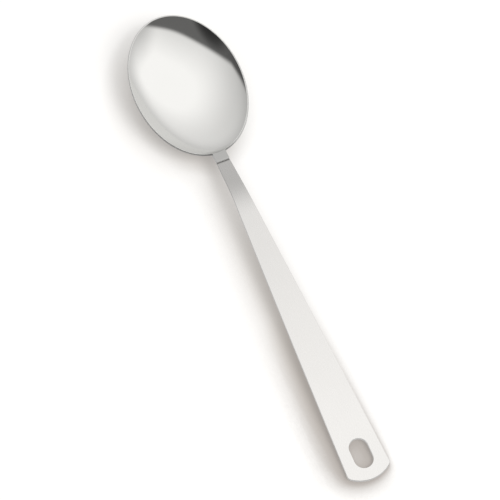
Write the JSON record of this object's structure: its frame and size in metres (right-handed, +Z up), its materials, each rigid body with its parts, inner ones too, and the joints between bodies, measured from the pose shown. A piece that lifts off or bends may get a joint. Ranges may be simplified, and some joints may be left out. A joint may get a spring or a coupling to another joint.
{
  "type": "serving spoon",
  "caption": "Stainless steel serving spoon: a pressed oval bowl on a short tang, spot welded to a long flat tapered handle with a hanging slot",
  "frame": {"origin": "on the surface that the spoon lies on, under the middle of its length and width", "axes": "+Y along the spoon from the end of the handle to the tip of the bowl, +X across it to the right, +Z up, out of the hollow of the bowl"},
  "size_m": [0.0716, 0.3328, 0.0219],
  "materials": {
    "bowl_steel": "stainless steel, pressed and mirror polished",
    "handle_steel": "stainless steel, rolled strip with a satin polish",
    "weld_steel": "fused stainless steel"
  },
  "bodies": {
    "root": {"bowl": "bowl_steel", "handle": "handle_steel", "spot_welds": "weld_steel"}
  },
  "joints": []
}
